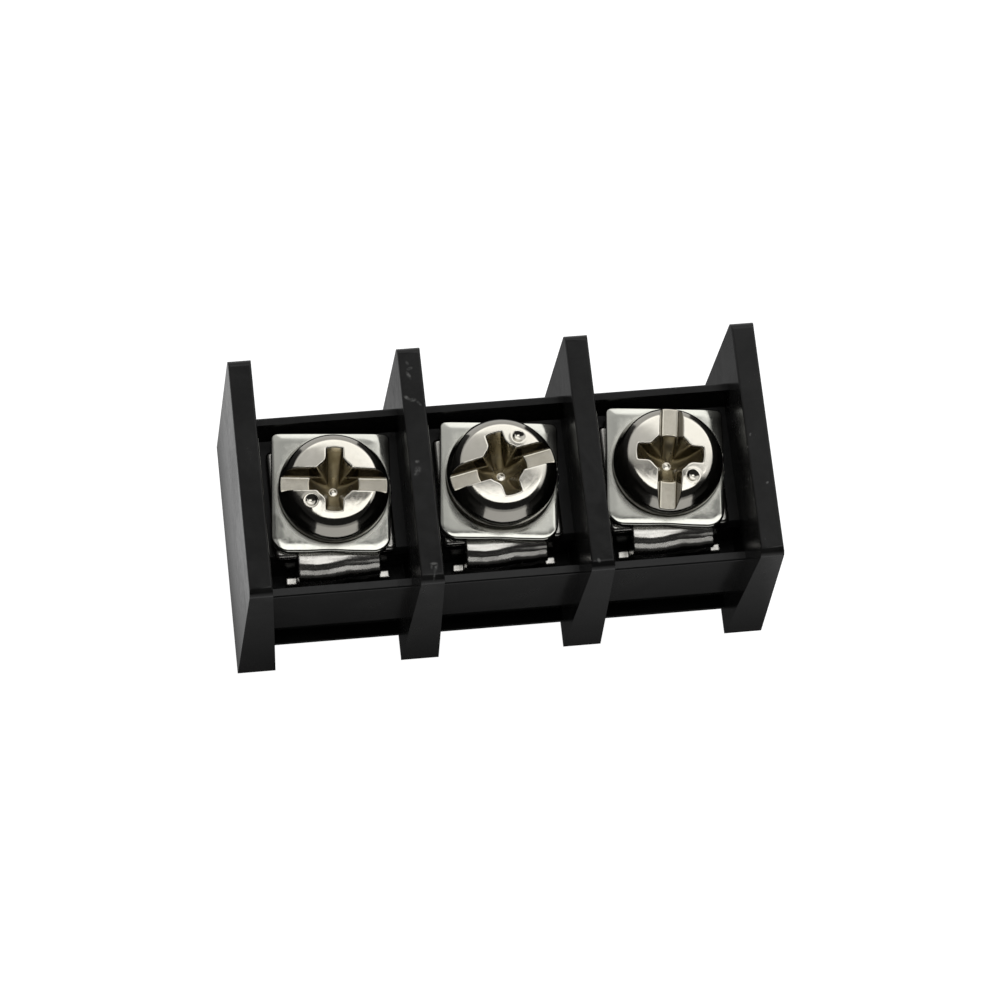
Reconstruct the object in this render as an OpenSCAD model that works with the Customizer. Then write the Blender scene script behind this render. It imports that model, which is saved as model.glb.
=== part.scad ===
// Barrier terminal block for a printed circuit board, three poles in a row.
// One moulded housing carries three stamped terminals. Each terminal has a
// clamping plate with a threaded collar, a front tab that is bent down into
// the housing, and a solder pin that leaves through the underside. A combined
// slot and cross-recess screw with a captive square washer clamps the wire.
//
// Frame, in millimetres: X runs along the row, -Y is the wire side, +Z is up.
// The origin is the middle of the underside, on the board's surface.

/* [Row] */
// Distance from one pole to the next
pitch = 9.5; // [9.3:0.05:10]
// Height of the barriers above the board
height = 14; // [13.4:0.1:15]
// Depth of the barriers from front to back
depth = 14; // [13.6:0.1:15]

/* [Barriers] */
// Thickness of a barrier at its top edge
barrier_top = 1.3; // [1:0.05:1.4]
// Thickness of a barrier at the board
barrier_foot = 2.2; // [1.8:0.05:2.3]
// Radius of a barrier's top corners, front and back
barrier_round = 0.5; // [0.2:0.05:0.8]

/* [Body] */
// Distance of the front wall behind the barriers' front edges
front_inset = 1.3; // [1.2:0.05:1.5]
// Height of the front lip
lip_h = 9.4; // [9:0.1:9.6]
// Thickness of the front lip at its top
lip_t = 0.5; // [0.4:0.05:0.6]
// Height of the well's floor, in front of the terminals
well_h = 6.4; // [6:0.1:6.8]
// Height of the pedestal under the terminal plates
pedestal_h = 9.05; // [9:0.05:9.2]
// Distance of the back wall in front of the barriers' back edges
back_inset = 2.5; // [2.3:0.05:2.6]
// Height of the back wall
wall_h = 10.9; // [10:0.1:11.5]
// Thickness of the back wall at its top
wall_t = 0.45; // [0.4:0.05:0.5]
// Bottom of the long recess in the front wall
recess_bottom = 1; // [0.8:0.1:1.4]
// Top of the long recess in the front wall
recess_top = 3.9; // [3.5:0.1:4.2]
// Depth of the long recess in the front wall
recess_d = 0.8; // [0.4:0.05:0.9]

/* [Terminal] */
// Width of the clamping plate
plate_w = 6.86; // [6.6:0.02:7.2]
// Thickness of the terminal's sheet
sheet = 0.6; // [0.5:0.05:0.65]
// Width of the bent front tab
tab_w = 4.65; // [4.2:0.05:5]
// Outer radius of the tab's bend
bend_r = 1; // [0.9:0.05:1]
// Width across the tab's shoulders
shoulder_w = 5.9; // [5.4:0.1:6.2]
// Width of the solder pin
pin_w = 1.2; // [1:0.1:1.4]
// Length of the solder pin below the board's surface
pin_len = 3.6; // [3:0.1:4.2]

/* [Screw] */
// Outside diameter of the thread
thread_d = 3.4; // [3.3:0.02:3.46]
// Diameter of the head
head_d = 6.24; // [6.14:0.02:6.3]
// Height of the head
head_h = 2.1; // [2:0.05:2.3]
// Diameter of the nearly flat top of the head
flat_d = 4.62; // [4.5:0.02:4.7]
// Length under the head
screw_len = 6.4; // [6:0.1:6.8]
// Width of the slot at its floor
slot_w = 0.92; // [0.8:0.02:1]
// Width of the slot at the top of the head
slot_top = 1.36; // [1.1:0.02:1.4]
// Depth of the slot
slot_h = 1.1; // [0.9:0.05:1.15]
// Depth of the cross recess
cross_h = 2.6; // [2.2:0.1:2.6]
// Direction of each screw's slot, degrees from the row
slot_turn = [174.5, 12, -98.5]; // [-180:0.5:180]
// How far each screw is backed off above its washer
back_off = [0, 0.4, 0]; // [0:0.05:0.4]

/* [Square washer] */
// Width of the washer, along the row
washer_w = 6.7; // [6.6:0.05:6.8]
// Length of the washer, from front to back
washer_l = 7.05; // [6.8:0.05:7.1]
// Radius of the washer's front corners
washer_round = 1; // [0.5:0.1:1.2]
// Thickness of the washer
washer_t = 0.72; // [0.6:0.02:0.72]
// Turn of each washer, degrees from the row
washer_turn = [-4.5, -5, -4.5]; // [-5:0.5:5]

/* [Hidden] */
$fn = 64;
poles = 3;
front_y = -depth/2 + front_inset;      // front wall
back_y = depth/2 - back_inset;         // back wall
well_back_y = -3.45;                   // pedestal's front face
tab_y = -4.3;                          // tab's outer face
plate_y = [-3.45, 2.95];               // clamping plate, front and back edge
plate_z = pedestal_h + sheet;          // clamping plate, top
collar_h = 1.6;                        // threaded collar below the plate
collar_d = 4.9;
thread_gap = 0.06;                     // radial running clearance of the thread
well_d = 5.4;                          // round well around the collar and screw
well_floor = 3.2;
washer_z = plate_z + 0.05;             // washer's underside
coin = 0.08;                           // round seat pressed into the washer
head_z = washer_z + washer_t - coin + 0.04;
neck_d = 3;                            // unthreaded neck that holds the washer
thread_z = plate_z - 0.5;              // top of the thread, with play for the washer above it
black = [0.09, 0.09, 0.095];
nickel = [0.78, 0.77, 0.73];
bright = [0.83, 0.82, 0.78];

function pole_x(i) = (i - (poles - 1)/2)*pitch;
function barrier_x(j) = (j - poles/2)*pitch;
// points along an arc from angle a to angle b
function arc(c, r, a, b, n = 6) =
    [for (k = [0:n]) c + r*[cos(a + (b - a)*k/n), sin(a + (b - a)*k/n)]];
// outline of a rectangle w by h about the origin with corner radius r
function rounded(w, h, r, n = 6) = concat(
    arc([w/2 - r, h/2 - r], r, 0, 90, n), arc([-w/2 + r, h/2 - r], r, 90, 180, n),
    arc([-w/2 + r, -h/2 + r], r, 180, 270, n), arc([w/2 - r, -h/2 + r], r, 270, 360, n));

// a YZ outline drawn out along X from x0 over a length
module along_x(x0, len) { translate([x0, 0, 0]) rotate([90, 0, 90]) linear_extrude(len) children(); }
// an XZ outline drawn out along Y from y0 over a length
module along_y(y0, len) { translate([0, y0 + len, 0]) rotate([90, 0, 0]) linear_extrude(len) children(); }

// one barrier: thinner at the top, with rounded corners
module barrier() {
    e = 0.12;
    intersection() {
        along_y(-depth/2, depth) polygon(concat(
            [[-barrier_foot/2, 0], [barrier_foot/2, 0]],
            arc([barrier_top/2 - e, height - e], e, 2, 90, 3),
            arc([-barrier_top/2 + e, height - e], e, 90, 178, 3)));
        along_x(-barrier_foot, 2*barrier_foot) polygon(concat(
            [[-depth/2, 0], [depth/2, 0]],
            arc([depth/2 - barrier_round, height - barrier_round], barrier_round, 0, 90),
            arc([-depth/2 + barrier_round, height - barrier_round], barrier_round, 90, 180)));
    }
}

// the body between the barriers, as one section along the row
module body_section() {
    e = 0.12;
    polygon(concat(
        [[front_y + 0.25, 0], [front_y, 0.7],
         [front_y, recess_bottom], [front_y + recess_d, recess_bottom],
         [front_y + recess_d, recess_top], [front_y, recess_top]],
        arc([front_y + e, lip_h - e], e, 180, 90, 3),
        [[front_y + lip_t, lip_h], [front_y + lip_t + 0.1, well_h],
         [well_back_y, well_h], [well_back_y, pedestal_h - 0.35],
         [well_back_y + 0.3, pedestal_h],
         [back_y - wall_t - 0.3, pedestal_h], [back_y - wall_t, wall_h]],
        arc([back_y - e, wall_h - e], e, 90, 0, 3),
        [[back_y, 0]]));
}

module housing() {
    color(black) difference() {
        union() {
            along_x(barrier_x(0), poles*pitch) body_section();
            for (j = [0:poles]) translate([barrier_x(j), 0, 0]) barrier();
        }
        for (i = [0:poles - 1]) translate([pole_x(i), 0, 0]) {
            // round well for the collar and the screw
            translate([0, 0, well_floor]) cylinder(d = well_d, h = pedestal_h);
            // slot for the terminal's leg and pin
            translate([-1.55, tab_y - 0.05, -1]) cube([3.1, sheet + 0.1, well_h + 2]);
            // two shallow core-outs in the underside, beside a middle rib
            for (s = [-1, 1]) translate([s*1.9 - 1.3, -2.6, -1]) cube([2.6, 6.2, 2.9]);
        }
    }
}

module terminal(i) {
    bend = [tab_y + bend_r, plate_z - bend_r];
    color(nickel) translate([pole_x(i), 0, 0]) difference() {
        union() {
            // clamping plate
            translate([0, (plate_y[0] + plate_y[1])/2, pedestal_h]) linear_extrude(sheet)
                polygon(rounded(plate_w, plate_y[1] - plate_y[0], 0.3, 4));
            // threaded collar, drawn down from the plate
            translate([0, 0, pedestal_h - collar_h]) cylinder(d = collar_d, h = collar_h + sheet/2);
            // tab, bent down over the front
            along_x(-tab_w/2, tab_w) polygon(concat(
                [[bend[0] + 0.6, plate_z]], arc(bend, bend_r, 90, 180, 10),
                [[bend[0] - bend_r, bend[1] - 0.4], [bend[0] - bend_r + sheet, bend[1] - 0.4]],
                arc(bend, bend_r - sheet, 180, 90, 4), [[bend[0] + 0.6, plate_z - sheet]]));
            // flat leg: shoulders, leg and solder pin
            along_y(tab_y, sheet) polygon(concat(
                [for (p = leg_half) [p[0], p[1]]],
                [for (k = [len(leg_half) - 1:-1:0]) [-leg_half[k][0], leg_half[k][1]]]));
        }
        translate([0, 0, pedestal_h - collar_h - 1])
            cylinder(d = thread_d + 2*thread_gap, h = collar_h + sheet + 2);
    }
}
leg_half = [[tab_w/2, plate_z - bend_r], [tab_w/2, well_h + 0.65], [shoulder_w/2, well_h + 0.65],
            [shoulder_w/2, well_h + 0.05], [1.5, well_h + 0.05], [1.5, 1.3], [pin_w/2, 0.8],
            [pin_w/2, -pin_len + 0.7], [pin_w/2 - 0.25, -pin_len]];

// the square washer lies a little off the screw's axis, within its play on the neck
module square_washer(i) {
    hw = washer_w/2;
    hl = washer_l/2;
    rb = 0.35;
    rf = washer_round;
    color(bright) translate([pole_x(i), 0, washer_z]) difference() {
        rotate([0, 0, washer_turn[i]]) translate([-0.05, 0, 0]) intersection() {
            linear_extrude(washer_t) polygon(concat(
                arc([hw - rb, hl - rb], rb, 0, 90), arc([-hw + rb, hl - rb], rb, 90, 180),
                arc([-hw + rf, -hl + rf], rf, 180, 270), arc([hw - rf, -hl + rf], rf, 270, 360)));
            // sheared sides
            along_y(-hl, washer_l) polygon(concat([[-hw, 0], [hw, 0]],
                arc([hw - 0.12, washer_t - 0.12], 0.12, 0, 90, 3),
                arc([-hw + 0.12, washer_t - 0.12], 0.12, 90, 180, 3)));
            // front and back edges rolled down
            along_x(-hw, washer_w) polygon(concat([[-hl, 0], [hl, 0]],
                arc([hl - 0.25, washer_t - 0.25], 0.25, 0, 90, 4),
                arc([-hl + 0.4, washer_t - 0.4], 0.4, 90, 180, 5)));
        }
        translate([0, 0, -1]) cylinder(d = neck_d + 0.2, h = washer_t + 2);
        translate([0, 0, washer_t - coin]) cylinder(d = head_d + 0.2, h = 1);
    }
}

module screw(i) {
    under = head_z + back_off[i];
    top = under + head_h;
    // the top is slightly crowned; the side is a round shoulder, then a steep cone down to a short upright rim
    crown = 0.12;
    shoulder = 1;
    side_c = [flat_d/2 - shoulder*cos(68), top - crown - shoulder*sin(68)];
    cone_top = side_c + shoulder*[cos(21), sin(21)];
    rim_z = cone_top[1] - (head_d/2 - cone_top[0])/tan(21);
    color(bright) translate([pole_x(i), 0, 0]) rotate([0, 0, slot_turn[i]]) difference() {
        rotate_extrude() polygon(concat(
            [[0, top - 3]],
            [for (k = [0:3]) [flat_d/2*k/4, top - crown*pow(k/4, 2)]],
            arc(side_c, shoulder, 68, 21, 8), [[head_d/2, rim_z]],
            arc([head_d/2 - 0.25, under + 0.25], 0.25, 0, -90, 4),
            [[neck_d/2, under], [neck_d/2, thread_z + back_off[i] + 0.07], [thread_d/2, thread_z + back_off[i]],
             [thread_d/2, under - screw_len + 0.5], [thread_d/2 - 0.4, under - screw_len],
             [0, under - screw_len]]));
        // slot right across the head
        along_x(-head_d, 2*head_d) polygon([
            [-slot_w/2, top - slot_h], [slot_w/2, top - slot_h],
            [slot_top/2, top + 0.01], [slot_top/2, top + 1], [-slot_top/2, top + 1], [-slot_top/2, top + 0.01]]);
        // cross recess: two wings with sloping ends, a tapering core and a pointed floor
        intersection() {
            rotate_extrude() polygon([[0, top - cross_h], [1.22, top - cross_h + 1.16], [1.95, top],
                                      [2.2, top + 0.5], [0, top + 0.5]]);
            union() for (a = [0, 90]) rotate([0, 0, a]) translate([-3, -0.45, top - 3]) cube([6, 0.9, 4]);
        }
        rotate_extrude() polygon([[0, top - cross_h], [0.2, top - cross_h + 0.2], [1.2, top],
                                  [1.3, top + 0.3], [0, top + 0.3]]);
        // round dimple in one quarter of the flat
        rotate([0, 0, 45]) translate([1.85, 0, top + 0.27]) sphere(r = 0.42);
    }
}

housing();
terminal(0);  // terminal_1
terminal(1);  // terminal_2
terminal(2);  // terminal_3
square_washer(0);  // square_washer_1
square_washer(1);  // square_washer_2
square_washer(2);  // square_washer_3
screw(0);  // screw_1
screw(1);  // screw_2
screw(2);  // screw_3
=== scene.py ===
import bpy
import bmesh
import math
import numpy as np
from mathutils import Matrix, Vector


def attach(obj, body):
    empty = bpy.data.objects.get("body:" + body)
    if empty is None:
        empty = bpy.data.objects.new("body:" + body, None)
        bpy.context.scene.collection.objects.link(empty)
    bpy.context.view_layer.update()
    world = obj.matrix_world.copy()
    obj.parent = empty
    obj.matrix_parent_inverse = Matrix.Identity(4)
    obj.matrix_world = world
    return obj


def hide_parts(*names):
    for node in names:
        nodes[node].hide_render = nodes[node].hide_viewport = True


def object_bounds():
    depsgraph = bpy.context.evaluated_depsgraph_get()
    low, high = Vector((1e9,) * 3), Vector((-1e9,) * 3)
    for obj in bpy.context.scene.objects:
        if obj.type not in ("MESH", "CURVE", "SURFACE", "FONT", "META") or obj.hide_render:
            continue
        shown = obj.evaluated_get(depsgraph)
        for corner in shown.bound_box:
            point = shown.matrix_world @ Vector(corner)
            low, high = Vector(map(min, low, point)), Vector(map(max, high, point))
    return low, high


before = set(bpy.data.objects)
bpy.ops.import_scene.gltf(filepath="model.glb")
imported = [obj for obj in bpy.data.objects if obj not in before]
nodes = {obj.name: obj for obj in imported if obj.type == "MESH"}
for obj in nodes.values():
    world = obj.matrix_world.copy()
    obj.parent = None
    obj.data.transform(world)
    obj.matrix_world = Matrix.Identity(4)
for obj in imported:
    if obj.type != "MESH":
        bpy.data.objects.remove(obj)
cad_box = [list(map(float, c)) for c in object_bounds()]
MM = 0.001
PITCH = 9.5
POLE_X = (-PITCH, 0.0, PITCH)
SLOT_TURN = (174.5, 12.0, -98.5)
WASHER_TURN = (-5.0, -6.0, -6.0)
WASHER_TILT = (0.5, -0.3, 0.35)
WASHER_OFF = ((-0.14, -0.05), (-0.10, -0.14), (-0.11, -0.09))
FRONT_BEND = ((0.028, 0.016), (-0.018, -0.032), (-0.020, 0.012))
PLATE_Z = 9.65
WASHER_Z, WASHER_T, COIN = 9.70, 0.72, 0.08
HEAD_Z, HEAD_H, HEAD_R, FLAT_R = 10.38, 2.1, 3.12, 2.31
SHOULDER, STEEP, BACK_OFF = 1.0, math.radians(21), (0.0, 0.4, 0.0)
SLOT_FLOOR, SLOT_W, SLOT_TOP, DOME = 1.0, 0.46, 0.68, 0.12
THREAD_R, NECK_R, SCREW_LEN, THREAD_PITCH = 1.70, 1.50, 6.4, 0.6
WASHER_W, WASHER_L, SEAT_R = 6.7, 7.05, 3.10
scene = bpy.context.scene


# ---------------------------------------------------------------- mesh helpers

def add_object(name, verts_mm, faces, smooth=True):
    """A new mesh object from points in millimetres, in the row frame."""
    me = bpy.data.meshes.new(name)
    me.from_pydata([tuple(p) for p in (np.asarray(verts_mm) * MM)], [], [tuple(f) for f in faces])
    me.validate()
    me.update()
    if smooth:
        me.shade_smooth()
    o = bpy.data.objects.new(name, me)
    scene.collection.objects.link(o)
    return o


def softened(node, name, width, segments, limit=35.0, wide=None, raised=None):
    """A copy of a CAD node with its edges rounded as a moulded or stamped piece has them.
    wide(a, b) may give another radius for the edge between two points, raised(p) a small lift of a corner.
    The work is done in millimetres, because the edges are far finer than Blender's own steps in metres."""
    bm = bmesh.new()
    bm.from_mesh(nodes[node].data)
    bmesh.ops.scale(bm, vec=(1 / MM,) * 3, verts=bm.verts)
    bmesh.ops.remove_doubles(bm, verts=bm.verts, dist=2e-4)
    bmesh.ops.dissolve_degenerate(bm, edges=bm.edges, dist=1e-4)
    bmesh.ops.dissolve_limit(bm, angle_limit=math.radians(0.4), verts=bm.verts, edges=bm.edges,
                             use_dissolve_boundaries=False)
    bmesh.ops.recalc_face_normals(bm, faces=bm.faces)
    if raised:
        for v in bm.verts:
            v.co.z += raised(v.co)
    widest = width
    radius = {}
    for e in bm.edges:
        if len(e.link_faces) == 2 and e.calc_face_angle(0.0) > math.radians(limit):
            r = (wide(e.verts[0].co, e.verts[1].co) if wide else None) or width
            radius[e.index] = r
            widest = max(widest, r)
    weight = bm.edges.layers.float.new("bevel_weight_edge")
    bm.edges.index_update()
    for e in bm.edges:
        if e.index in radius:
            e[weight] = radius[e.index] / widest
    me = bpy.data.meshes.new(name)
    bm.to_mesh(me)
    bm.free()
    tmp = bpy.data.objects.new(name + "_tmp", me)
    scene.collection.objects.link(tmp)
    b = tmp.modifiers.new("edges", "BEVEL")
    b.width = widest
    b.segments = segments
    b.limit_method = "WEIGHT"
    b.use_clamp_overlap = True
    b.profile = 0.5
    tmp.data.shade_smooth()
    w = tmp.modifiers.new("normals", "WEIGHTED_NORMAL")
    w.keep_sharp = True
    w.weight = 60
    bpy.context.view_layer.update()
    dg = bpy.context.evaluated_depsgraph_get()
    out = bpy.data.meshes.new_from_object(tmp.evaluated_get(dg))
    bpy.data.objects.remove(tmp)
    out.name = name
    out.transform(Matrix.Scale(MM, 4))
    out.materials.clear()
    o = bpy.data.objects.new(name, out)
    scene.collection.objects.link(o)
    return o


def surface(f, lo, hi, h, steps=3):
    """The closed surface f = 0 inside a box, as points and quads. f takes three arrays."""
    n = [int(math.ceil((hi[k] - lo[k]) / h)) + 1 for k in range(3)]
    ax = [lo[k] + h * np.arange(n[k]) for k in range(3)]
    g = np.meshgrid(*ax, indexing="ij")
    F = f(*g)
    cells = tuple(m - 1 for m in n)
    acc, cnt = np.zeros(cells + (3,)), np.zeros(cells)
    cross_all = []
    for a in range(3):
        s0, s1 = [slice(None)] * 3, [slice(None)] * 3
        s0[a], s1[a] = slice(0, -1), slice(1, None)
        f0, f1 = F[tuple(s0)], F[tuple(s1)]
        cross = (f0 < 0) != (f1 < 0)
        t = np.where(cross, f0 / np.where(cross, f0 - f1, 1.0), 0.0)
        cross_all.append((cross, f0 < 0))
        b, c = [k for k in range(3) if k != a]
        for ob in (0, 1):
            for oc in (0, 1):
                s = [None] * 3
                s[a] = slice(0, n[a] - 1)
                s[b], s[c] = slice(ob, ob + n[b] - 1), slice(oc, oc + n[c] - 1)
                cr, tt = cross[tuple(s)], t[tuple(s)]
                acc[..., a] += cr * tt
                acc[..., b] += cr * ob
                acc[..., c] += cr * oc
                cnt += cr
    mask = cnt > 0
    idx = -np.ones(cells, int)
    idx[mask] = np.arange(int(mask.sum()))
    where = np.argwhere(mask)
    v = np.array(lo) + h * (where + acc[mask] / cnt[mask][:, None])
    faces = []
    for a in range(3):
        cross, inside = cross_all[a]
        b, c = (a + 1) % 3, (a + 2) % 3
        e = np.argwhere(cross)
        e = e[(e[:, b] > 0) & (e[:, b] < n[b] - 1) & (e[:, c] > 0) & (e[:, c] < n[c] - 1)]
        ins = inside[tuple(e.T)]
        quad = []
        for db, dc in ((1, 1), (0, 1), (0, 0), (1, 0)):
            q = e.copy()
            q[:, b] -= db
            q[:, c] -= dc
            quad.append(idx[tuple(q.T)])
        quad = np.stack(quad, 1)
        quad[~ins] = quad[~ins][:, ::-1]
        faces.append(quad)
    eps = h * 0.05
    for _ in range(steps):
        d = f(v[:, 0], v[:, 1], v[:, 2])
        grad = np.stack([(f(*(v + eps * np.eye(3)[k]).T) - f(*(v - eps * np.eye(3)[k]).T)) / (2 * eps)
                         for k in range(3)], 1)
        g2 = np.maximum((grad ** 2).sum(1), 0.2)
        v = v - np.clip(d / g2, -0.5 * h, 0.5 * h)[:, None] * grad
    # points that ran into each other become one, and faces that closed up go
    _, first, same = np.unique(np.round(v / 4e-4).astype(int), axis=0, return_index=True, return_inverse=True)
    whole = []
    for q in same.reshape(-1)[np.concatenate(faces)].tolist():
        q = [a for k, a in enumerate(q) if a != q[k - 1]]
        if len(q) > 2 and len(set(q)) == len(q):
            whole.append(tuple(q))
    return v[first], whole


def smin(a, b, k):
    m = np.clip(0.5 + 0.5 * (b - a) / k, 0, 1)
    return b + (a - b) * m - k * m * (1 - m)


def smax(a, b, k):
    return -smin(-a, -b, k)


def rounded_both(a, b, r):
    """What lies inside both a and b, with an edge of radius r between them."""
    a, b = a + r, b + r
    return np.hypot(np.maximum(a, 0), np.maximum(b, 0)) + np.minimum(np.maximum(a, b), 0) - r


# ---------------------------------------------------------------- screw

def smooth(t):
    t = np.clip(t, 0, 1)
    return t * t * (3 - 2 * t)


def slot_cut(x, y, z):
    half = SLOT_W + (SLOT_TOP - SLOT_W) * (z - SLOT_FLOOR) / (HEAD_H - SLOT_FLOOR)
    return smax((np.abs(y) - half) * 0.974, SLOT_FLOOR - z, 0.08)


def cross_cut(x, y, z):
    """Cross recess: four wings with sloping ends, a tapering core and a deep pointed floor that reaches into the neck."""
    r = np.hypot(x, y)
    up = (z - 0.25) / 1.85
    cone = (r - (1.95 - 0.505 * (HEAD_H - z))) * 0.893
    wings = np.minimum(np.abs(x), np.abs(y)) - (0.33 + 0.15 * up)
    core = (r - (0.42 + 0.78 * up)) * 0.91
    cut = smin(smax(cone, wings, 0.08), core, 0.26)
    return smax(cut, (0.95 * r - 0.50 - z) * 0.725, 0.10)


def head_side(r, z):
    """Distance outside the head's side: a round shoulder below the flat, then a steep cone down to a short upright rim."""
    a = r - FLAT_R + SHOULDER * math.cos(math.radians(68))
    b = z - HEAD_H + DOME + SHOULDER * math.sin(math.radians(68))
    arc = np.hypot(np.maximum(a, 0), b) - 0.3 * np.maximum(-a, 0)
    cone = a * math.cos(STEEP) + b * math.sin(STEEP)
    side = np.where(b * math.cos(STEEP) > a * math.sin(STEEP), arc, cone) - SHOULDER
    return smax(side, r - HEAD_R, 0.10)


def screw_head(x, y, z):
    """Signed distance, in millimetres, of a pan head with slot, cross recess and dimple. z = 0 is its underside."""
    r = np.hypot(x, y)
    side = head_side(r, z)
    crown = z - (HEAD_H - DOME * (r / FLAT_R) ** 2)
    d = smax(side, crown, 0.05)
    d = rounded_both(d, -z, 0.26)
    d = smin(d, smax(r - NECK_R, np.maximum(z - 0.3, -0.75 - z), 0.05), 0.06)
    d = smax(d, -slot_cut(x, y, z), 0.05)
    d = smax(d, -cross_cut(x, y, z), 0.06)
    c45 = math.cos(math.radians(45))
    away = np.hypot(x - 1.85 * c45, y - 1.85 * c45)
    d = d - 0.014 * np.exp(-((away - 0.43) / 0.09) ** 2) * smooth((FLAT_R - 0.02 - r) / 0.15) * (np.abs(z - HEAD_H) < 0.3)
    dimple = np.sqrt(away ** 2 + (z - HEAD_H - 0.225) ** 2) - 0.45
    d = smax(d, -dimple, 0.04)
    nub = smax(np.sqrt(x * x + y * y + (z + 0.82) ** 2) - 0.60, -0.6 - z, 0.05)
    return smin(d, nub, 0.06)


def recess_tint_and_shade_of(v):
    """How dull and brown the plating is in the cross recess, and a little on the slot's floor: a brown tint, with
    painted shade that grows with depth in the recess; the nub is left bright.
    """
    x, y, z = v.T
    r = np.hypot(x, y)
    deep = HEAD_H - DOME * (r / FLAT_R) ** 2 - z
    in_cross = (1 - smooth(np.abs(cross_cut(x, y, z)) / 0.10)) * smooth((deep - 0.04) / 0.40)
    nub = (1 - smooth((r - 0.16) / 0.10)) * (z < 0.1)
    inside = (r < HEAD_R - 0.1) & ((z > 0.1) | (r < 1.2)) & (z > -0.7)
    in_slot = 0.35 * (1 - smooth((np.abs(z - SLOT_FLOOR) - 0.03) / 0.06)) * (np.abs(y) < SLOT_W + 0.02) * (cross_cut(x, y, z) > 0.02)
    return np.where(inside, np.clip(np.maximum(in_cross * (1 - nub), in_slot), 0, 1), 0.0)


def painted_wall_shade_of(v):
    """The upright walls of slot and recess, painted a darker brown: painted shade."""
    x, y, z = v.T
    deep = HEAD_H - DOME * (np.hypot(x, y) / FLAT_R) ** 2 - z
    wall = (1 - smooth(np.abs(slot_cut(x, y, z)) / 0.06)) * smooth((deep - 0.05) / 0.2) * smooth((z - SLOT_FLOOR - 0.04) / 0.12)
    wall = np.where(cross_cut(x, y, z) > 0.05, wall, 0.0)
    steep = np.abs(cross_cut(x, y, z + 0.02) - cross_cut(x, y, z - 0.02)) / 0.04
    steep = (1 - smooth((steep - 0.10) / 0.30)) * recess_tint_and_shade_of(v)
    return np.where((np.hypot(x, y) < HEAD_R - 0.1) & (z > 0.1), np.clip(np.maximum(wall, 0.75 * steep), 0, 1), 0.0)


def painted_flank_shade_of(v):
    """The head's side below the flat gets a darker plating colour than the flat: painted shade, which dims what the
    side mirrors.
    """
    x, y, z = v.T
    r = np.hypot(x, y)
    return (1 - smooth((np.abs(head_side(r, z)) - 0.01) / 0.05)) * smooth((r - FLAT_R - 0.02) / 0.08)


def shank():
    """Neck, thread and tip as one closed turned surface with a helix on it; z from the head's underside."""
    na, per = 56, 14
    top, bottom = -0.68, -SCREW_LEN
    zs = [top, -0.70, -0.72, -0.75, -0.90, -1.05, -1.20]
    z = -1.24
    while z > bottom + 0.02:
        zs.append(z)
        z -= THREAD_PITCH / per
    zs.append(bottom)
    rows = []
    for z in zs:
        row = []
        for k in range(na):
            a = 2 * math.pi * k / na
            ph = ((z / THREAD_PITCH) - a / (2 * math.pi)) % 1.0
            tri = abs(2 * ph - 1)
            ridge = min(1.0, max(0.0, (tri - 0.12) / 0.74))
            ridge = ridge * ridge * (3 - 2 * ridge) * 0.35 + ridge * 0.65
            root = THREAD_R - 0.33
            r = root + (THREAD_R - 0.01 - root) * ridge
            if z > -1.21:
                r = NECK_R if z < -0.74 else NECK_R - 0.02
            else:
                start = min(1.0, (-1.21 - z) / 0.35)
                r = NECK_R * (1 - start) + r * start
            end = min(1.0, max(0.0, (z - bottom) / 0.55))
            r = min(r, 1.25 + 0.45 * end)
            row.append((r * math.cos(a), r * math.sin(a), z))
        rows.append(row)
    verts = [p for row in rows for p in row]
    faces = []
    for i in range(len(rows) - 1):
        for k in range(na):
            k2 = (k + 1) % na
            faces.append((i * na + k, (i + 1) * na + k, (i + 1) * na + k2, i * na + k2))
    faces.append(tuple(range(na)))
    last = (len(rows) - 1) * na
    faces.append(tuple(last + k for k in reversed(range(na))))
    return np.array(verts), faces


head_v, head_f = surface(screw_head, (-3.2, -3.2, -0.85), (3.2, 3.2, 2.25), 0.044)
shank_v, shank_f = shank()
screws = []
for i in range(3):
    a = math.radians(SLOT_TURN[i])
    R = np.array([[math.cos(a), -math.sin(a), 0], [math.sin(a), math.cos(a), 0], [0, 0, 1]])
    v = np.concatenate([head_v, shank_v]) @ R.T + np.array([POLE_X[i], 0, HEAD_Z + BACK_OFF[i]])
    f = [tuple(q) for q in head_f] + [tuple(k + len(head_v) for k in q) for q in shank_f]
    o = add_object(f"clamp_screw_{i + 1}", v, f)
    g = np.zeros(len(o.data.vertices), np.float32)
    # the marks below paint the screw's colour: a brown tint with painted shade in the recess, painted shade on the slot
    # and recess walls and on the head's side
    for mark, of in (("grime_and_shade", recess_tint_and_shade_of), ("wall", painted_wall_shade_of), ("flank", painted_flank_shade_of)):
        g[:len(head_v)] = of(head_v)
        o.data.attributes.new(mark, "FLOAT", "POINT").data.foreach_set("value", g)
    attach(o, f"screw_{i + 1}")
    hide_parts(f"screw_{i + 1}")
    screws.append(o)


# ---------------------------------------------------------------- square washer

def washer_edge(x, y, off):
    """Distance outside the washer's outline: round front corners, crisp back ones, a slight hollow in the front edge."""
    x, y = x - off[0], y - off[1]
    y = np.where(y < 0, y - 0.06 * np.exp(-(x / 0.9) ** 2), y)
    corner = np.where(y < 0, 1.0, 0.35)
    qx, qy = np.abs(x) - WASHER_W / 2 + corner, np.abs(y) - WASHER_L / 2 + corner
    return np.hypot(np.maximum(qx, 0), np.maximum(qy, 0)) + np.minimum(np.maximum(qx, qy), 0) - corner


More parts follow.
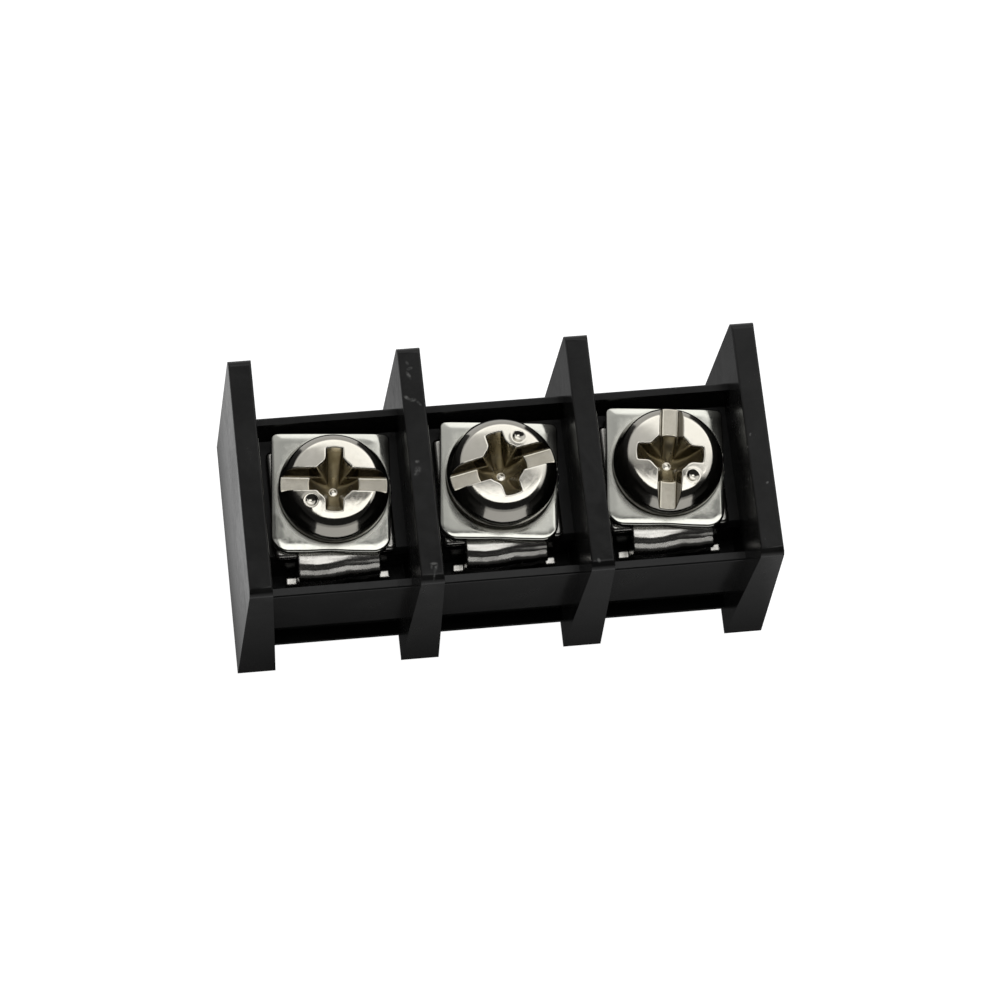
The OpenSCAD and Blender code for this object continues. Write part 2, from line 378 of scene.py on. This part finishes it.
def washer_mesh(off, bend):
    hole, na = 1.6, 288
    phi = np.linspace(0, 2 * np.pi, na, endpoint=False)
    c, s = np.cos(phi), np.sin(phi)

    def outline(inset):
        lo, hi = np.zeros(na), np.full(na, 6.0)
        for _ in range(40):
            mid = (lo + hi) / 2
            out = washer_edge(mid * c, mid * s, off) + inset > 0
            lo, hi = np.where(out, lo, mid), np.where(out, mid, hi)
        return (lo + hi) / 2

    def height(x, y):
        d = np.maximum(-washer_edge(x, y, off), 0)
        e = 1e-3
        ny = (washer_edge(x, y + e, off) - washer_edge(x, y - e, off)) / (2 * e)
        front = smooth((-ny - 0.25) / 0.5)
        u, v, r = x - off[0], y - off[1], np.hypot(x, y)
        lobes = 1 - 0.55 * np.exp(-((x + 0.1) / 0.75) ** 2) - 0.25 * smooth((np.abs(x) - 2.0) / 1.0)
        z = WASHER_T - 0.052 * lobes * front * np.clip(1 - d / 0.52, 0, 1) ** 2.2
        z = z - 0.055 * np.clip(1 - (WASHER_L / 2 - v) / 0.50, 0, 1) ** 2
        # the sheared sides fall away, the left one more gently, and the front corners are bent a little
        z = z - 0.065 * np.clip(1 - (WASHER_W / 2 + u) / 0.55, 0, 1) ** 2
        z = z - 0.050 * np.clip(1 - (WASHER_W / 2 - u) / 0.30, 0, 1) ** 2
        z = z - (bend[0] * smooth((-0.3 - x) / 1.5) + bend[1] * smooth((x - 0.3) / 1.5)) * np.maximum(-1.4 - y, 0) * smooth((r - 2.6) / 0.6)
        er = 0.07 + 0.04 * front
        t = np.clip(1 - d / er, 0, 1)
        z = z - er * 0.9 * (1 - np.sqrt(np.maximum(1 - t * t, 0)))
        z = z - 0.20 * np.clip((x - 1.7) / 1.6, 0, 1) ** 2.5 * smooth((y - 0.2) / 2.4)
        u = np.clip((r - SEAT_R + 0.05) / 0.10, 0, 1)
        seat = WASHER_T - COIN + COIN * 1.25 * smooth(u) + np.where(u >= 1, 9, 0)
        return np.minimum(z, seat)

    verts, faces = [], []

    def ring(r, z):
        verts.extend(zip(r * c, r * s, np.broadcast_to(z, r.shape)))

    edge = outline(0.0)
    rings = [np.full(na, r) for r in (hole + 0.05, hole + 0.12, 2.0, 2.5, 2.9, 3.02, 3.05, 3.07, 3.09, 3.11, 3.13, 3.15, 3.19, 3.24, 3.29)]
    for k, d in enumerate((0.60, 0.54, 0.48, 0.42, 0.37, 0.32, 0.27, 0.22, 0.18, 0.145, 0.115, 0.09, 0.068, 0.048, 0.031, 0.018, 0.008, 0.0)):
        rings.append(np.maximum(outline(d), np.minimum(3.292 + 0.004 * k, edge - 0.002 * (17 - k))))
    ring(np.full(na, hole), np.full(na, WASHER_T - COIN - 0.06))
    for r in rings:
        ring(r, height(r * c, r * s))
    ring(edge, np.full(na, 0.12))
    ring(edge - 0.02, np.full(na, 0.04))
    ring(edge - 0.09, np.full(na, 0.0))
    ring(np.full(na, 2.4), np.full(na, 0.0))
    ring(np.full(na, hole + 0.06), np.full(na, 0.0))
    ring(np.full(na, hole), np.full(na, 0.06))
    n = len(verts) // na
    for i in range(n):
        j = (i + 1) % n
        for k in range(na):
            k2 = (k + 1) % na
            faces.append((i * na + k, j * na + k, j * na + k2, i * na + k2))
    return np.array(verts), faces


washers = []
for i in range(3):
    washer_v, washer_f = washer_mesh(WASHER_OFF[i], FRONT_BEND[i])
    a = math.radians(WASHER_TURN[i])
    R = np.array([[math.cos(a), -math.sin(a), 0], [math.sin(a), math.cos(a), 0], [0, 0, 1]])
    v = washer_v.copy()
    v[:, 2] += v[:, 1] * math.tan(math.radians(WASHER_TILT[i]))
    o = add_object(f"clamp_washer_{i + 1}", v @ R.T + np.array([POLE_X[i], 0, WASHER_Z]), washer_f)
    # painted shade: a darker, duller ring on the washer around the head's seat stands in for the head's contact shadow
    r = np.hypot(washer_v[:, 0], washer_v[:, 1])
    seat = (1 - smooth((r - 3.10) / 0.40)) * (washer_v[:, 2] > 0.3)
    o.data.attributes.new("grime_and_shade", "FLOAT", "POINT").data.foreach_set("value", seat.astype(np.float32))
    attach(o, f"washer_{i + 1}")
    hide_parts(f"square_washer_{i + 1}")
    washers.append(o)

# ---------------------------------------------------------------- housing and terminals

def housing_edge(a, b):
    """The barriers' upright front and back edges are rounder than the rest."""
    if max(a.y, b.y) < -6.4 and abs(a.z - b.z) > 3.0:
        return 0.30
    if min(a.y, b.y) > 6.4 and abs(a.z - b.z) > 3.0:
        return 0.20


def lip_tilt(p):
    """The front lip's top falls a little to the front."""
    return 0.05 if abs(p.y + 5.2) < 0.02 and abs(p.z - 9.4) < 0.02 else 0.0


shell = softened("housing", "moulded_housing", 0.09, 4, wide=housing_edge, raised=lip_tilt)
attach(shell, "block")
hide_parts("housing")


def box2(u, v, cu, cv, hu, hv):
    p, q = np.abs(u - cu) - hu, np.abs(v - cv) - hv
    return np.hypot(np.maximum(p, 0), np.maximum(q, 0)) + np.minimum(np.maximum(p, q), 0)


# middle of the sheet through the bend, (y, z): the tab is rolled twice and bulges forward before it goes down to the leg
BEND = ((-2.90, 9.35), (-3.42, 9.352), (-3.62, 9.336), (-3.80, 9.292), (-3.92, 9.196), (-4.00, 9.120), (-4.36, 9.021), (-4.38, 8.80), (-4.00, 7.90), (-4.00, 6.80))


def terminal(x, y, z):
    """Signed distance of a stamped terminal: plate, drawn collar, bent tab, shoulders, leg and pin."""
    plate = rounded_both(box2(x, y, -0.14, -0.25, 3.12, 2.90) - 0.3, np.abs(z - 9.35) - 0.3, 0.24)
    wave = 0.024 * np.sin(2.1 * x + 0.9) * np.sin(3.0 * z + 0.8) + 0.016 * np.sin(4.3 * x + 2.0) + 0.007 * np.sin(9.1 * x + 0.4)
    wave = wave + (0.11 * np.exp(-((x + 0.85) / 0.75) ** 2) - 0.025 * x - 0.03) * smooth((-3.72 - y) / 0.35)
    sheet = np.full_like(x, 9.0)
    zz = z + 0.13 * smooth((x - 0.2) / 1.0) * np.clip(-3.45 - y, 0, 0.55) * smooth((z - 8.4) / 0.4)
    for (y0, z0), (y1, z1) in zip(BEND[:-1], BEND[1:]):
        dy, dz = y1 - y0, z1 - z0
        t = np.clip(((y + wave - y0) * dy + (zz - z0) * dz) / (dy * dy + dz * dz), 0, 1)
        sheet = np.minimum(sheet, np.hypot(y + wave - y0 - t * dy, zz - z0 - t * dz))
    tab = rounded_both(sheet - 0.3, np.abs(x) - 2.325, 0.07)
    outline = np.minimum(box2(x, z - 0.12 * (y + 4.0), 0, 6.75, 2.95, 0.30), box2(x, z, 0, 3.90, 1.50, 2.70))
    pin = np.abs(x) - 0.6 + np.clip(-2.9 - z, 0, 1) * 0.35
    pin = smax(pin, np.maximum(z - 2.0, -3.6 - z), 0.08)
    outline = smin(outline, pin, 0.15)
    leg = rounded_both(outline, np.abs(y + 4.0) - 0.3, 0.14)
    ring = np.hypot(x, y)
    collar = rounded_both(ring - 2.45, np.abs(z - 8.325) - 0.875, 0.15)
    d = smin(np.minimum(smin(plate, tab, 0.05), leg), collar, 0.15)
    return smax(d, 1.76 - ring, 0.12)


term_v, term_f = surface(terminal, (-3.8, -5.05, -3.75), (3.6, 3.1, 9.85), 0.066)
plates = []
for i in range(3):
    o = add_object(f"terminal_plate_{i + 1}", term_v + np.array([POLE_X[i], 0, 0]), term_f)
    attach(o, "block")
    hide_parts(f"terminal_{i + 1}")
    plates.append(o)


# ---------------------------------------------------------------- materials

class Nodes:
    """Short forms for building a node tree."""

    def __init__(self, name):
        self.m = bpy.data.materials.new(name)
        self.m.use_nodes = True
        self.t = self.m.node_tree
        self.t.nodes.clear()
        self.out = self.t.nodes.new("ShaderNodeOutputMaterial")
        self.b = self.t.nodes.new("ShaderNodeBsdfPrincipled")
        self.t.links.new(self.b.outputs[0], self.out.inputs[0])
        self.co = self.t.nodes.new("ShaderNodeTexCoord").outputs["Object"]

    def new(self, kind, **props):
        n = self.t.nodes.new(kind)
        for k, v in props.items():
            setattr(n, k, v)
        return n

    def link(self, a, b):
        self.t.links.new(a, b)

    def noise(self, scale, detail=3.0, rough=0.55, co=None, distortion=0.0):
        n = self.new("ShaderNodeTexNoise")
        n.inputs["Scale"].default_value = scale
        n.inputs["Detail"].default_value = detail
        n.inputs["Roughness"].default_value = rough
        n.inputs["Distortion"].default_value = distortion
        self.link(co or self.co, n.inputs["Vector"])
        return n.outputs["Fac"]

    def remap(self, value, a, b, c, d):
        n = self.new("ShaderNodeMapRange")
        n.interpolation_type = "SMOOTHSTEP"
        for k, x in zip(("From Min", "From Max", "To Min", "To Max"), (a, b, c, d)):
            n.inputs[k].default_value = x
        self.link(value, n.inputs["Value"])
        return n.outputs["Result"]

    def math(self, op, a, b=None):
        n = self.new("ShaderNodeMath", operation=op)
        for k, x in enumerate((a, b)):
            if x is None:
                continue
            if isinstance(x, (int, float)):
                n.inputs[k].default_value = x
            else:
                self.link(x, n.inputs[k])
        return n.outputs[0]

    def mix(self, fac, a, b):
        n = self.new("ShaderNodeMix", data_type="RGBA")
        for k, x in ((0, fac), (6, a), (7, b)):
            if isinstance(x, (int, float)):
                n.inputs[k].default_value = x
            elif isinstance(x, tuple):
                n.inputs[k].default_value = x
            else:
                self.link(x, n.inputs[k])
        return n.outputs[2]

    def bump(self, height, strength, distance, after=None):
        n = self.new("ShaderNodeBump")
        n.inputs["Strength"].default_value = strength
        n.inputs["Distance"].default_value = distance
        self.link(height, n.inputs["Height"])
        if after is not None:
            self.link(after, n.inputs["Normal"])
        return n.outputs[0]

    def streak(self, place, length, width, turn, blur=0.5):
        """A soft elongated mark at a point on the surface, in millimetres; turn is (x, y, z) degrees."""
        mp = self.new("ShaderNodeMapping", vector_type="TEXTURE")
        mp.inputs["Location"].default_value = [c * MM for c in place]
        mp.inputs["Rotation"].default_value = [math.radians(c) for c in turn]
        mp.inputs["Scale"].default_value = (length * MM, width * MM, 0.5 * MM)
        self.link(self.co, mp.inputs["Vector"])
        g = self.new("ShaderNodeTexGradient", gradient_type="SPHERICAL")
        self.link(mp.outputs[0], g.inputs["Vector"])
        return self.remap(g.outputs["Fac"], 0.0, blur, 0.0, 1.0)


# light scuffs: middle, half length, half width, turn about Z, strength, in millimetres and degrees
SCUFFS = (((-5.13, 3.90, 14.0), 0.26, 0.14, -43, 1.0), ((-4.82, 3.74, 14.0), 0.30, 0.15, -6, 0.9),
          ((-4.49, 3.52, 14.0), 0.27, 0.10, -51, 0.8), ((-4.80, 5.62, 14.0), 0.25, 0.13, 19, 0.8),
          ((-4.89, 5.22, 14.0), 0.33, 0.14, -67, 1.0), ((-4.90, 5.97, 14.0), 0.20, 0.12, -60, 0.4),
          ((-4.93, 0.06, 14.0), 0.17, 0.15, 0, 1.0), ((-4.95, -0.44, 14.0), 0.30, 0.24, 70, 0.7),
          ((-5.05, -0.66, 14.0), 0.22, 0.15, 20, 0.6), ((-4.62, -5.98, 14.0), 0.28, 0.12, -4, 1.0),
          ((-4.55, -6.25, 13.98), 0.35, 0.14, 68, 1.0), ((-4.77, -6.16, 13.98), 0.22, 0.09, 85, 0.5),
          ((-4.68, -6.72, 13.85), 0.26, 0.08, 80, 0.7), ((4.51, -6.55, 13.9), 0.18, 0.13, -70, 0.9),
          ((14.45, -2.78, 14.0), 0.13, 0.09, 30, 0.9), ((13.86, 0.14, 14.0), 0.14, 0.09, 70, 0.9),
          ((13.60, -0.56, 14.0), 0.14, 0.08, 80, 0.8))
# pale smudges on the outer side of the first barrier: middle, half height, half width, strength
SMUDGES = (((-15.16, 3.9, 6.6), 1.8, 0.45, 0.16), ((-15.19, 3.1, 5.0), 1.6, 0.40, 0.18), ((-15.16, 1.65, 6.2), 2.0, 0.50, 0.16),
           ((-15.12, -1.05, 7.4), 1.8, 0.40, 0.13), ((-15.33, 3.2, 0.8), 1.0, 0.35, 0.14), ((-15.27, 0.6, 2.6), 1.4, 0.40, 0.14))


def plastic():
    n = Nodes("black_moulded_plastic")
    flow = n.noise(260, 4, 0.6, distortion=0.8)
    fine = n.noise(2600, 3, 0.6)
    base = n.mix(n.remap(flow, 0.3, 0.75, 0, 1), (0.009, 0.009, 0.0088, 1), (0.015, 0.015, 0.0145, 1))
    marks = None
    for place, length, width, turn, strength in SCUFFS:
        m = n.math("MULTIPLY", n.streak(place, length, width, (0, 0, turn), 0.8), strength)
        marks = m if marks is None else n.math("MAXIMUM", marks, m)
    for place, length, width, strength in SMUDGES:
        m = n.math("MULTIPLY", n.streak(place, length, width, (0, 90, 0), 0.8), strength)
        marks = n.math("MAXIMUM", marks, m)
    marks = n.math("MULTIPLY", marks, n.remap(n.noise(3600, 3, 0.6), 0.36, 0.58, 0.25, 1.0))
    n.link(n.mix(marks, base, (0.15, 0.15, 0.145, 1)), n.b.inputs["Base Color"])
    rough = n.math("ADD", n.remap(flow, 0.25, 0.75, 0.16, 0.26), n.remap(fine, 0.3, 0.7, -0.03, 0.03))
    n.link(rough, n.b.inputs["Roughness"])
    n.b.inputs["Specular IOR Level"].default_value = 0.2
    n.link(n.bump(fine, 0.10, 0.02 * MM), n.b.inputs["Normal"])
    return n.m


def plated(name, light, dark, r0, r1, wave=0.05, grime_and_shade=None, side=None, dullness=0.12, grain=0.05):
    n = Nodes(name)
    cloud = n.noise(420, 3, 0.5)
    fine = n.noise(3800, 4, 0.65)
    base = n.mix(n.remap(cloud, 0.3, 0.7, 0, 1), dark + (1,), light + (1,))
    rough = n.math("ADD", n.remap(cloud, 0.3, 0.7, r0, r1), n.remap(fine, 0.35, 0.7, -0.02, 0.04))
    # a brown tint with painted shade in the screw's recess, painted contact shade around the washer's seat; both are
    # also made duller
    if grime_and_shade:
        grime_and_shade_mask = n.new("ShaderNodeAttribute", attribute_name="grime_and_shade").outputs["Fac"]
        spots = n.math("MULTIPLY", grime_and_shade_mask, n.remap(n.noise(2200, 3, 0.6), 0.3, 0.65, 0.75, 1.0))
        base = n.mix(spots, base, grime_and_shade + (1,))
        rough = n.math("ADD", rough, n.math("MULTIPLY", spots, dullness))
    # painted shade: the slot and recess walls get a dark brown colour
    if side:
        wall_shade_mask = n.new("ShaderNodeAttribute", attribute_name="wall").outputs["Fac"]
        base = n.mix(wall_shade_mask, base, (0.105, 0.088, 0.056, 1))
        # painted shade: the head's side below the flat gets a darker plating colour
        base = n.mix(n.new("ShaderNodeAttribute", attribute_name="flank").outputs["Fac"], base, side + (1,))
    n.link(base, n.b.inputs["Base Color"])
    n.b.inputs["Metallic"].default_value = 1.0
    n.link(rough, n.b.inputs["Roughness"])
    n.link(n.bump(cloud, wave, 0.06 * MM, n.bump(fine, grain, 0.01 * MM)), n.b.inputs["Normal"])
    return n.m


black = plastic()
# the washer's darker second colour is painted contact shade around the head's seat
m_washer = plated("nickel_plate_washer", (0.61, 0.61, 0.555), (0.55, 0.55, 0.50), 0.10, 0.15, grime_and_shade=(0.50, 0.495, 0.445), dullness=0.30)
# the screw's darker brown colour is a tint plus painted shade in the recess; its side colour is painted shade on the
# head's flank
m_screw = plated("nickel_plate_screw", (0.65, 0.625, 0.56), (0.59, 0.565, 0.495), 0.10, 0.16, grime_and_shade=(0.45, 0.40, 0.285), side=(0.36, 0.345, 0.31), dullness=0.20)
m_term = plated("nickel_plate_terminal", (0.57, 0.556, 0.522), (0.48, 0.468, 0.438), 0.21, 0.27, grain=0.015)
shell.data.materials.append(black)
for o in washers:
    o.data.materials.append(m_washer)
for o in screws:
    o.data.materials.append(m_screw)
for o in plates:
    o.data.materials.append(m_term)

# ---------------------------------------------------------------- stage, light and camera

floor_z = cad_box[0][2] - 0.00002
me = bpy.data.meshes.new("floor")
me.from_pydata([(-2, -2, floor_z), (2, -2, floor_z), (2, 2, floor_z), (-2, 2, floor_z)], [], [(0, 1, 2, 3)])
floor = bpy.data.objects.new("floor", me)
scene.collection.objects.link(floor)
n = Nodes("pale_floor")
n.b.inputs["Base Color"].default_value = (0.30, 0.30, 0.30, 1)
n.b.inputs["Roughness"].default_value = 0.9
n.b.inputs["Specular IOR Level"].default_value = 0.1
n.b.inputs["Emission Color"].default_value = (1, 1, 1, 1)
n.b.inputs["Emission Strength"].default_value = 1.0
# what the block mirrors of the floor is a painted glow: a painted shadow close to the front, painted light at the left;
# the camera sees the floor evenly bright
sep = n.new("ShaderNodeSeparateXYZ")
n.link(n.co, sep.inputs[0])
fx, fy = sep.outputs["X"], sep.outputs["Y"]
near = n.math("MULTIPLY", n.remap(fy, -0.007, -0.012, 0.03, 0.10), n.remap(fx, -0.010, 0.010, 0.95, 1.4))
near = n.math("ADD", near, n.remap(fy, -0.012, -0.022, 0.0, 0.75))
left = n.math("MULTIPLY", n.remap(fx, -0.0150, -0.0172, 0.0, 1.0), n.remap(fy, -0.006, 0.003, 0.38, 0.60))
behind = n.math("MULTIPLY", n.remap(fy, 0.0040, 0.0090, 0.0, 1.0), n.remap(fx, -0.007, 0.002, 0.28, 0.17))
for part in (left, n.remap(fx, 0.0150, 0.0200, 0.0, 0.50), behind, n.remap(fy, 0.020, 0.034, 0.0, 0.90)):
    near = n.math("MAXIMUM", near, part)
glow = n.new("ShaderNodeEmission")
n.link(near, glow.inputs["Strength"])
both = n.new("ShaderNodeMixShader")
n.link(n.new("ShaderNodeLightPath").outputs["Is Camera Ray"], both.inputs[0])
n.link(glow.outputs[0], both.inputs[1])
n.link(n.b.outputs[0], both.inputs[2])
n.link(both.outputs[0], n.out.inputs[0])
floor.data.materials.append(n.m)


def panel(name, place, size, spin, radiance):
    """A soft box that faces straight down."""
    li = bpy.data.lights.new(name, "AREA")
    li.shape = "RECTANGLE"
    li.size, li.size_y = size
    li.energy = radiance * math.pi * size[0] * size[1]
    o = bpy.data.objects.new(name, li)
    o.location = place
    o.rotation_euler = (0, 0, math.radians(spin))
    scene.collection.objects.link(o)
    return o


panel("key", (0.05, 0.0050, 0.36), (0.22, 0.140), 0.0, 1.8)

# the room: a bright wall behind the block, a dim ceiling in front of it, a paler strip low in front
world = bpy.data.worlds.new("studio")
scene.world = world
world.use_nodes = True
wt = world.node_tree
wt.nodes.clear()
w_out = wt.nodes.new("ShaderNodeOutputWorld")
w_bg = wt.nodes.new("ShaderNodeBackground")
w_co = wt.nodes.new("ShaderNodeTexCoord")
w_sep = wt.nodes.new("ShaderNodeSeparateXYZ")
wt.links.new(w_co.outputs["Generated"], w_sep.inputs[0])


def room(axis, a, b, c, d):
    m = wt.nodes.new("ShaderNodeMapRange")
    m.interpolation_type = "SMOOTHSTEP"
    for k, x in zip(("From Min", "From Max"), (a, b)):
        m.inputs[k].default_value = x
    for k, x in zip(("To Min", "To Max"), (c, d)):
        if isinstance(x, (int, float)):
            m.inputs[k].default_value = x
        else:
            wt.links.new(x, m.inputs[k])
    wt.links.new(w_sep.outputs[axis] if isinstance(axis, str) else axis, m.inputs["Value"])
    return m.outputs["Result"]


w_front = room("Z", 0.20, 0.30, 0.50, 0.025)
w_back = room("Z", 0.55, 0.82, 0.85, 0.62)
w_room = room("Y", 0.20, 0.38, w_front, w_back)
# a window to the back right
w_slant = wt.nodes.new("ShaderNodeMath")
w_slant.operation = "ADD"
wt.links.new(w_sep.outputs["X"], w_slant.inputs[0])
wt.links.new(w_sep.outputs["Y"], w_slant.inputs[1])
w_window = wt.nodes.new("ShaderNodeMath")
w_window.operation = "MULTIPLY_ADD"
wt.links.new(room(w_slant.outputs[0], 0.49, 0.57, 0.0, 0.9), w_window.inputs[0])
wt.links.new(room("Z", 0.45, 0.62, 0.0, 1.0), w_window.inputs[1])
wt.links.new(w_room, w_window.inputs[2])
wt.links.new(w_window.outputs[0], w_bg.inputs["Strength"])
wt.links.new(w_bg.outputs[0], w_out.inputs[0])
w_bg.inputs["Color"].default_value = (1, 1, 1, 1)

cam = bpy.data.cameras.new("photo_camera")
cam.sensor_fit = "HORIZONTAL"
cam.sensor_width = 36.0
cam.lens = 159.223
cam.clip_start, cam.clip_end = 0.01, 10.0
cam_o = bpy.data.objects.new("photo_camera", cam)
cam_o.matrix_world = Matrix(((0.9916226, 0.0780809, -0.1028981, -0.0258353),
                             (-0.1080182, 0.9380871, -0.3291271, -0.0833545),
                             (0.0708289, 0.3374847, 0.9386625, 0.2443772),
                             (0, 0, 0, 1)))
scene.collection.objects.link(cam_o)
scene.camera = cam_o
scene.view_settings.view_transform = "Standard"
